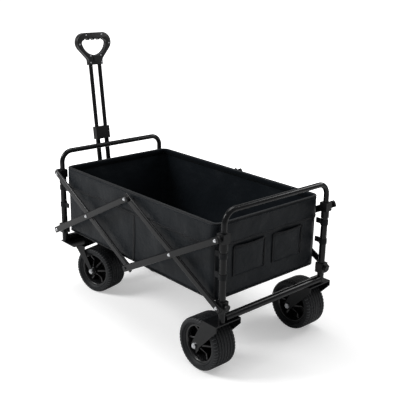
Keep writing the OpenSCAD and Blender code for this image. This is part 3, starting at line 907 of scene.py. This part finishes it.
class WAGON_OT_basket_trim(bpy.types.Operator):
    """Adds the basket's binding, piping and stitching"""

    bl_idname = "wagon.basket_trim"
    bl_label = "Basket trim"

    def execute(self, context):
        s = sizes()
        cuff_low = RIM_Z + 1.5 * MM - s.cuff_depth
        cuff_face = CUFF_OUT - 0.8 * MM + CUFF_SKIN
        rim = wall_path(RIM_Z + 1.5 * MM, -s.cloth_thickness / 2 + 1.2 * MM)
        self.tape("rim_binding", rim, 5.2 * MM, 2.6 * MM)
        self.tape("cuff_hem", wall_path(cuff_low + 4 * MM, cuff_face, True), 0.9 * MM, 4.6 * MM)
        self.tape("floor_piping", wall_path(FLOOR_Z + 3.2 * MM, 0.6 * MM), 2.4 * MM, 2.4 * MM)
        stitches(wall_path(cuff_low + 6.6 * MM, cuff_face + 0.9 * MM, True), "cuff_stitching", s.stitch_pitch)
        stitches(wall_path(RIM_Z - 6 * MM, cuff_face + 0.1 * MM, True), "rim_stitching", s.stitch_pitch)
        stitches(wall_path(FLOOR_Z + 9 * MM, 0.2 * MM), "hem_stitching", s.stitch_pitch)
        self.corner_piping()
        self.panel_seams()
        return {"FINISHED"}

    def tape(self, name, path, half_side, half_up):
        verts, faces = sweep(path, ring_section(half_side, half_up, 10), closed=True)
        piece = new_piece(name, verts, faces, "binding_tape")
        soft_fold(piece)

    def corner_piping(self):
        """Upright piping where the side panels meet the end panels."""
        parts = []
        radius = sizes().corner_radius
        for sx in (-1, 1):
            for sy in (-1, 1):
                corner = Vector((
                    TUB_CENTRE.x + sx * (HALF_X - radius), TUB_CENTRE.y + sy * (HALF_Y - radius), 0))
                out = Vector((sx, sy, 0)).normalized()
                path = [corner + out * (radius + 0.6 * MM) + Vector((0, 0, FLOOR_Z + 4 * MM + k)) for k in
                        [i * (RIM_Z - FLOOR_Z - sizes().cuff_depth - 4 * MM) / 12 for i in range(13)]]
                parts.append(sweep(path, ring_section(2.2 * MM, 2.2 * MM, 8), up=Vector((1, 0, 0))))
        piece = new_piece("corner_piping", *merge(parts), "binding_tape")
        soft_fold(piece)

    def panel_seams(self):
        """A flat tape down the middle of each long side, over the fold line of the cloth."""
        parts = []
        for sy in (-1, 1):
            path = []
            for i in range(16):
                z = FLOOR_Z + 6 * MM + (RIM_Z - sizes().cuff_depth - FLOOR_Z - 4 * MM) * i / 15
                inset = ripple(Vector((0, sy * HALF_Y, 0)), (z - FLOOR_Z) / (RIM_Z - FLOOR_Z), 0.5)
                path.append(Vector((TUB_CENTRE.x, TUB_CENTRE.y + sy * (HALF_Y - inset + 0.4 * MM), z)))
            parts.append(sweep(path, ring_section(7 * MM, 0.9 * MM, 10), up=Vector((0, sy, 0))))
        piece = new_piece("side_seam_tapes", *merge(parts), "binding_tape")
        soft_fold(piece)


class WAGON_OT_pockets(bpy.types.Operator):
    """Makes the flat pockets on the rear panel"""

    bl_idname = "wagon.pockets"
    bl_label = "Rear pockets"

    def execute(self, context):
        low, high = box_of("rear_pockets")
        width = 140 * MM
        parts, tapes = [], []
        for start in (low.y, high.y - width):
            columns, rows = 16, 12
            verts = []
            for i in range(rows + 1):
                v = i / rows
                for j in range(columns + 1):
                    u = j / columns
                    belly = math.sin(math.pi * u) ** 0.7 * (0.35 + 0.65 * v)
                    sag = 3 * MM * math.sin(math.pi * u) * v ** 3
                    x = low.x - 2.0 * MM + 6.0 * MM * belly + 0.5 * MM * math.sin(9 * u + 5 * v)
                    verts.append(Vector((x, start + width * u, low.z + (high.z - low.z) * v - sag)))
            parts.append((verts, grid_faces(rows + 1, columns + 1)))
            rim = [Vector(p) + Vector((0.6 * MM, 0, 0)) for p in verts[-(columns + 1):]]
            tapes.append(sweep(rim, ring_section(1.3 * MM, 4.5 * MM, 10)))
            for edge in (0, 1):
                upright = [
                    Vector((low.x + 0.4 * MM, start + width * edge, low.z + (high.z - low.z) * k / 10))
                    for k in range(11)
                ]
                tapes.append(sweep(upright, ring_section(3.5 * MM, 1.1 * MM, 10), up=Vector((1, 0, 0))))
        pockets = new_piece("rear_pocket_cloth", *merge(parts), "basket_cloth")
        thicken(pockets, 1.2 * MM, 0.0)
        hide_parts("rear_pockets")
        binding = new_piece("rear_pocket_binding", *merge(tapes), "binding_tape")
        for piece in (pockets, binding):
            soft_fold(piece)
        return {"FINISHED"}


class WAGON_OT_straps(bpy.types.Operator):
    """Ties the basket's corners to the posts with webbing loops"""

    bl_idname = "wagon.straps"
    bl_label = "Corner straps"

    def execute(self, context):
        post_y = (SLEEVE_HIGH.y - SLEEVE_LOW.y) / 2 - SLEEVE_R
        for end, post_x, inward in (("rear", REAR_POST_X, -1), ("front", FRONT_POST_X, 1)):
            low, high = box_of(f"{end}_straps")
            parts = []
            for _, sy in SIDES:
                for z in (low.z + 9 * MM, high.z - 9 * MM):
                    parts.append(self.loop(post_x, sy * post_y, z, 9 * MM, SLEEVE_R + 1.2 * MM, inward))
            piece = new_piece(f"{end}_post_loops", *merge(parts), "webbing")
            shade_by_angle(piece, 40.0)
            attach(piece, f"{end}_base")
            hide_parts(f"{end}_straps")
        return {"FINISHED"}

    def loop(self, px, py, z, half, radius, inward):
        """A band round the post whose two ends run flat to the basket's end panel."""
        reach = abs(px - TUB_CENTRE.x) - HALF_X
        path = [Vector((px + inward * (reach + 1 * MM), py + 1.6 * MM, z))]
        path.append(Vector((px + inward * (radius + 4 * MM), py + 1.8 * MM, z)))
        start = math.radians(35)
        for i in range(21):
            turn = start + (2 * math.pi - 2 * start) * i / 20
            path.append(Vector((px + inward * radius * math.cos(turn), py + radius * math.sin(turn), z)))
        path.append(Vector((px + inward * (radius + 4 * MM), py - 1.8 * MM, z)))
        path.append(Vector((px + inward * (reach + 1 * MM), py - 1.6 * MM, z)))
        return sweep(path, [(-0.7 * MM, -half), (0.7 * MM, -half), (0.7 * MM, half), (-0.7 * MM, half)])


class WAGON_OT_floor_mat(bpy.types.Operator):
    """Makes the padded boards of the folding floor mat"""

    bl_idname = "wagon.floor_mat"
    bl_label = "Floor mat"

    def execute(self, context):
        count = 4
        length = (MAT_HIGH.x - MAT_LOW.x) / count
        boards, bindings = [], []
        for i in range(count):
            x0 = MAT_LOW.x + i * length + 2.5 * MM
            x1 = MAT_LOW.x + (i + 1) * length - 2.5 * MM
            boards.append(self.board(x0, x1))
            loop = self.edge(x0, x1)
            bindings.append(sweep(loop, ring_section(2.6 * MM, 2.6 * MM, 8), closed=True))
        mat = new_piece("floor_mat_boards", *merge(boards), "basket_cloth")
        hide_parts("floor_mat")
        edge = new_piece("floor_mat_binding", *merge(bindings), "binding_tape")
        for piece in (mat, edge):
            soft_fold(piece)
        return {"FINISHED"}

    def edge(self, x0, x1):
        y0, y1 = MAT_LOW.y + 3 * MM, MAT_HIGH.y - 3 * MM
        z = (MAT_LOW.z + MAT_HIGH.z) / 2
        points = []
        corners = ((x0, y0), (x1, y0), (x1, y1), (x0, y1))
        for k in range(4):
            a, b = corners[k], corners[(k + 1) % 4]
            for i in range(12):
                points.append(Vector((a[0] + (b[0] - a[0]) * i / 12, a[1] + (b[1] - a[1]) * i / 12, z)))
        return points

    def board(self, x0, x1):
        """A quilted pad: a closed grid with a crown and two stitched channels."""
        y0, y1 = MAT_LOW.y + 3 * MM, MAT_HIGH.y - 3 * MM
        nx, ny = 18, 36
        top, bottom = [], []
        for i in range(nx + 1):
            for j in range(ny + 1):
                u, v = i / nx, j / ny
                edge = min(1.0, 6 * min(u, 1 - u)) ** 0.5 * min(1.0, 9 * min(v, 1 - v)) ** 0.5
                channel = 1.0 - 0.75 * max(math.exp(-((v - k) * 26) ** 2) for k in (1 / 3, 2 / 3))
                x, y = x0 + (x1 - x0) * u, y0 + (y1 - y0) * v
                crown = (MAT_HIGH.z - MAT_LOW.z) * (0.5 + 0.62 * edge * channel)
                top.append(Vector((x, y, MAT_LOW.z + crown)))
                bottom.append(Vector((x, y, MAT_LOW.z + 0.3 * MM)))
        verts = top + bottom
        n = (nx + 1) * (ny + 1)
        faces = grid_faces(nx + 1, ny + 1)
        faces += [tuple(n + k for k in reversed(quad)) for quad in grid_faces(nx + 1, ny + 1)]
        rim = [j for j in range(ny + 1)] + [i * (ny + 1) + ny for i in range(1, nx + 1)]
        rim += [nx * (ny + 1) + j for j in range(ny - 1, -1, -1)]
        rim += [i * (ny + 1) for i in range(nx - 1, 0, -1)]
        for k in range(len(rim)):
            m = (k + 1) % len(rim)
            faces.append((rim[k], rim[m], n + rim[m], n + rim[k]))
        return verts, faces


# ---------------------------------------------------------------- handle grip


GRIP_LOW, GRIP_HIGH = box_of("grip_front")
GRIP_TALL = 126 * MM
GRIP_THICK = 24 * MM
GRIP_ROUNDING = 2.5 * MM
SCALLOP_R = 12.5 * MM
SCALLOP_DROP = 6.5 * MM
HANDLE_PIVOT = Vector(JOINTS["handle_tilt"]["pos_m"])
HANDLE_UP = Vector(JOINTS["handle_telescope"]["axis"]).normalized()
HANDLE_FORE = Vector(JOINTS["grip_button_press"]["axis"]).normalized()


def handle_matrix():
    """Places something drawn with Z up the handle and X towards the wagon, from the pivot."""
    back = -HANDLE_FORE
    across = HANDLE_UP.cross(back)
    rows = Matrix((back, across, HANDLE_UP)).transposed().to_4x4()
    return Matrix.Translation(HANDLE_PIVOT) @ rows


class WAGON_OT_grip(bpy.types.Operator):
    """Makes the two moulded halves of the D-grip"""

    bl_idname = "wagon.grip"
    bl_label = "Handle grip"

    def execute(self, context):
        width = GRIP_HIGH.y - GRIP_LOW.y
        height = GRIP_TALL
        top = self.top_along()
        base = top - height
        for name, sign, node in (("grip_shell_front", -1, "grip_front"), ("grip_shell_back", 1, "grip_back")):
            piece = self.shell(name, width, height, GRIP_THICK / 2 - 0.25 * MM)
            piece.data.transform(Matrix.Translation(Vector((sign * (GRIP_THICK / 4 + 0.12 * MM), 0, base))))
            piece.data.transform(handle_matrix())
            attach(piece, "handle_top")
            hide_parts(node)
        return {"FINISHED"}

    def top_along(self):
        """Height of the grip's top above the pivot, measured up the handle."""
        high = box_of("grip_back")[1]
        return (high.z - HANDLE_PIVOT.z - GRIP_THICK / 2 * abs(HANDLE_FORE.z)) / HANDLE_UP.z

    def outline(self, width, height):
        """Outer edge, as (across, up) points: round shoulders, tapered cheeks and a neck."""
        shoulder = 38 * MM
        cx, cz = width / 2 - shoulder, height - shoulder
        points = []
        for sign, start, stop in ((1, -42, 90), (-1, 90, 222)):
            for i in range(15):
                turn = math.radians(start + (stop - start) * i / 14)
                points.append((sign * cx + shoulder * math.cos(turn), cz + shoulder * math.sin(turn)))
        neck = [(-39 * MM, 29 * MM), (-34 * MM, 23 * MM), (-32 * MM, 17 * MM), (-32 * MM, 0)]
        return points + neck + [(-x, y) for x, y in reversed(neck)]

    def window(self, width, height):
        """Hand opening: a deep round bottom and finger scallops along its top edge."""
        radius, top, corner = width / 2 - 20 * MM, height - 29 * MM, 12 * MM
        half = math.sqrt(radius ** 2 - corner ** 2)
        dip = math.asin(corner / radius)
        points = []
        for i in range(33):
            turn = math.pi + dip + (math.pi - 2 * dip) * i / 32
            points.append((radius * math.cos(turn), top + radius * math.sin(turn)))
        for i in range(1, 8):
            turn = math.pi / 2 * i / 8
            points.append((half - corner + corner * math.cos(turn), top - corner + corner * math.sin(turn)))
        steps = 84
        for i in range(steps + 1):
            x = (half - corner) * (1 - 2 * i / steps)
            scallop = 0.0
            for centre in (-36 * MM, -12 * MM, 12 * MM, 36 * MM):
                off = abs(x - centre)
                if off < SCALLOP_R:
                    scallop = max(scallop, math.sqrt(SCALLOP_R ** 2 - off ** 2) - SCALLOP_DROP)
            points.append((x, top + scallop))
        for i in range(1, 8):
            turn = math.pi / 2 * (1 + i / 8)
            points.append((corner - half + corner * math.cos(turn), top - corner + corner * math.sin(turn)))
        # Drawn the other way round from the outline, so that its edges round off outwards too
        return points[::-1]

    def shell(self, name, width, height, depth):
        curve = bpy.data.curves.new(name, "CURVE")
        curve.dimensions = "2D"
        curve.fill_mode = "BOTH"
        curve.extrude = depth / 2 - GRIP_ROUNDING
        curve.bevel_depth = GRIP_ROUNDING
        curve.bevel_resolution = 3
        curve.offset = -GRIP_ROUNDING
        for points in (self.outline(width, height), self.window(width, height)):
            spline = curve.splines.new("POLY")
            spline.points.add(len(points) - 1)
            for target, (x, y) in zip(spline.points, points):
                target.co = (x, y, 0, 1)
            spline.use_cyclic_u = True
        carrier = bpy.data.objects.new(name + "_outline", curve)
        bpy.context.scene.collection.objects.link(carrier)
        graph = bpy.context.evaluated_depsgraph_get()
        mesh = bpy.data.meshes.new_from_object(carrier.evaluated_get(graph))
        bpy.data.objects.remove(carrier)
        # The outline is drawn across and up: turn it so that its depth runs along X
        mesh.transform(Matrix(((0, 0, 1, 0), (1, 0, 0, 0), (0, 1, 0, 0), (0, 0, 0, 1))))
        mesh.name = name
        build = bmesh.new()
        build.from_mesh(mesh)
        bmesh.ops.remove_doubles(build, verts=build.verts, dist=0.02 * MM)
        bmesh.ops.recalc_face_normals(build, faces=build.faces)
        build.to_mesh(mesh)
        build.free()
        mesh.materials.clear()
        mesh.materials.append(finish_of("grip_plastic"))
        piece = bpy.data.objects.new(name, mesh)
        bpy.context.scene.collection.objects.link(piece)
        shade_by_angle(piece, 35.0)
        return piece


# ---------------------------------------------------------------- stage


VIEW_AZIMUTH = 47.9
VIEW_ELEVATION = 18.0
VIEW_ROLL = 1.07
VIEW_DISTANCE = 2.642
VIEW_TARGET = Vector((0.093, 0.039, 0.429))
VIEW_LENS = 65.1
FLOOR_GLOW = 0.6
AIR_LIGHT = 0.3


class WAGON_OT_stage(bpy.types.Operator):
    """Sets the floor, lights and camera"""

    bl_idname = "wagon.stage"
    bl_label = "Stage"

    def execute(self, context):
        self.floor()
        self.lights()
        self.camera()
        return {"FINISHED"}

    def floor(self):
        mesh = bpy.data.meshes.new("studio_floor")
        reach = 14.0
        mesh.from_pydata([(-reach, -reach, 0), (reach, -reach, 0), (reach, reach, 0), (-reach, reach, 0)], [],
                         [(0, 1, 2, 3)])
        floor = bpy.data.objects.new("studio_floor", mesh)
        bpy.context.scene.collection.objects.link(floor)
        paper = Finish("studio_paper", (0.80, 0.80, 0.80), specular=0.1)
        paper.set("Roughness", 0.9)
        # The paper brightens away from the wagon, so that it melts into the air behind
        vector, _ = object_axes(paper.tree)
        reach_node = paper.tree.nodes.new("ShaderNodeVectorMath")
        reach_node.operation = "LENGTH"
        paper.tree.links.new(vector, reach_node.inputs[0])
        fade = paper.tree.nodes.new("ShaderNodeMapRange")
        for label, value in (("From Min", 0.9), ("From Max", 1.7), ("To Min", 0.62), ("To Max", 2.0)):
            fade.inputs[label].default_value = value
        paper.tree.links.new(reach_node.outputs["Value"], fade.inputs["Value"])
        paper.link(fade.outputs["Result"], "Emission Color")
        seen = paper.tree.nodes.new("ShaderNodeLightPath")
        glow = math_node(paper.tree, "MULTIPLY", seen.outputs["Is Camera Ray"], FLOOR_GLOW)
        paper.link(glow, "Emission Strength")
        mesh.materials.append(paper.material)

    def lights(self):
        world = bpy.data.worlds.new("studio_air")
        world.use_nodes = True
        tree = world.node_tree
        seen = tree.nodes.new("ShaderNodeLightPath")
        level = math_node(tree, "MULTIPLY_ADD", seen.outputs["Is Camera Ray"], 1.1 - AIR_LIGHT, AIR_LIGHT)
        air = tree.nodes["Background"]
        air.inputs["Color"].default_value = (1.0, 1.0, 1.0, 1.0)
        tree.links.new(level, air.inputs["Strength"])
        bpy.context.scene.world = world
        bpy.context.scene.view_settings.view_transform = "Standard"
        for name, place, size, power in (
            ("key_light", (-1.9, -2.6, 2.7), 1.6, 120.0),
            ("top_light", (-0.2, 0.3, 3.4), 2.2, 60.0),
            ("back_light", (1.2, 2.6, 2.2), 1.2, 30.0),
        ):
            lamp = bpy.data.lights.new(name, "AREA")
            lamp.size = size
            lamp.energy = power
            obj = bpy.data.objects.new(name, lamp)
            obj.location = place
            aim = Vector((0.0, 0.0, 0.35)) - Vector(place)
            obj.rotation_euler = aim.to_track_quat("-Z", "Y").to_euler()
            bpy.context.scene.collection.objects.link(obj)

    def camera(self):
        lens = bpy.data.cameras.new("view_camera")
        lens.lens = VIEW_LENS
        lens.sensor_width = 36.0
        lens.clip_end = 60.0
        camera = bpy.data.objects.new("view_camera", lens)
        turn, rise = math.radians(VIEW_AZIMUTH), math.radians(VIEW_ELEVATION)
        back = Vector((math.sin(turn) * math.cos(rise), -math.cos(turn) * math.cos(rise), math.sin(rise)))
        camera.location = VIEW_TARGET + back * VIEW_DISTANCE
        look = (-back).to_track_quat("-Z", "Y").to_matrix().to_4x4()
        camera.rotation_euler = (look @ Matrix.Rotation(math.radians(VIEW_ROLL), 4, "Z")).to_euler()
        bpy.context.scene.collection.objects.link(camera)
        bpy.context.scene.camera = camera


# ---------------------------------------------------------------- panel and main


OPERATORS = (
    WAGON_OT_frame_finishes, WAGON_OT_tyres, WAGON_OT_hubs, WAGON_OT_end_plugs, WAGON_OT_basket,
    WAGON_OT_basket_trim, WAGON_OT_pockets, WAGON_OT_straps, WAGON_OT_floor_mat, WAGON_OT_grip,
    WAGON_OT_stage,
)


class WAGON_PT_build(bpy.types.Panel):
    """Lists the steps that make the wagon"""

    bl_idname = "WAGON_PT_build"
    bl_label = "Folding Camp Wagon"
    bl_space_type = "VIEW_3D"
    bl_region_type = "UI"
    bl_category = "Wagon"

    def draw(self, context):
        for group in (context.scene.wagon_sizes, context.scene.wagon_colours):
            for key in group.bl_rna.properties.keys():
                if key not in ("rna_type", "name"):
                    self.layout.prop(group, key)
        for operator in OPERATORS:
            self.layout.operator(operator.bl_idname)


CLASSES = (WAGON_PG_sizes, WAGON_PG_colours) + OPERATORS + (WAGON_PT_build,)


def register():
    for cls in CLASSES:
        bpy.utils.register_class(cls)
    bpy.types.Scene.wagon_sizes = bpy.props.PointerProperty(type=WAGON_PG_sizes)
    bpy.types.Scene.wagon_colours = bpy.props.PointerProperty(type=WAGON_PG_colours)


def unregister():
    del bpy.types.Scene.wagon_colours
    del bpy.types.Scene.wagon_sizes
    for cls in reversed(CLASSES):
        bpy.utils.unregister_class(cls)


def main():
    register()
    for operator in OPERATORS:
        group, name = operator.bl_idname.split(".")
        getattr(getattr(bpy.ops, group), name)()


if __name__ == "__main__":
    main()
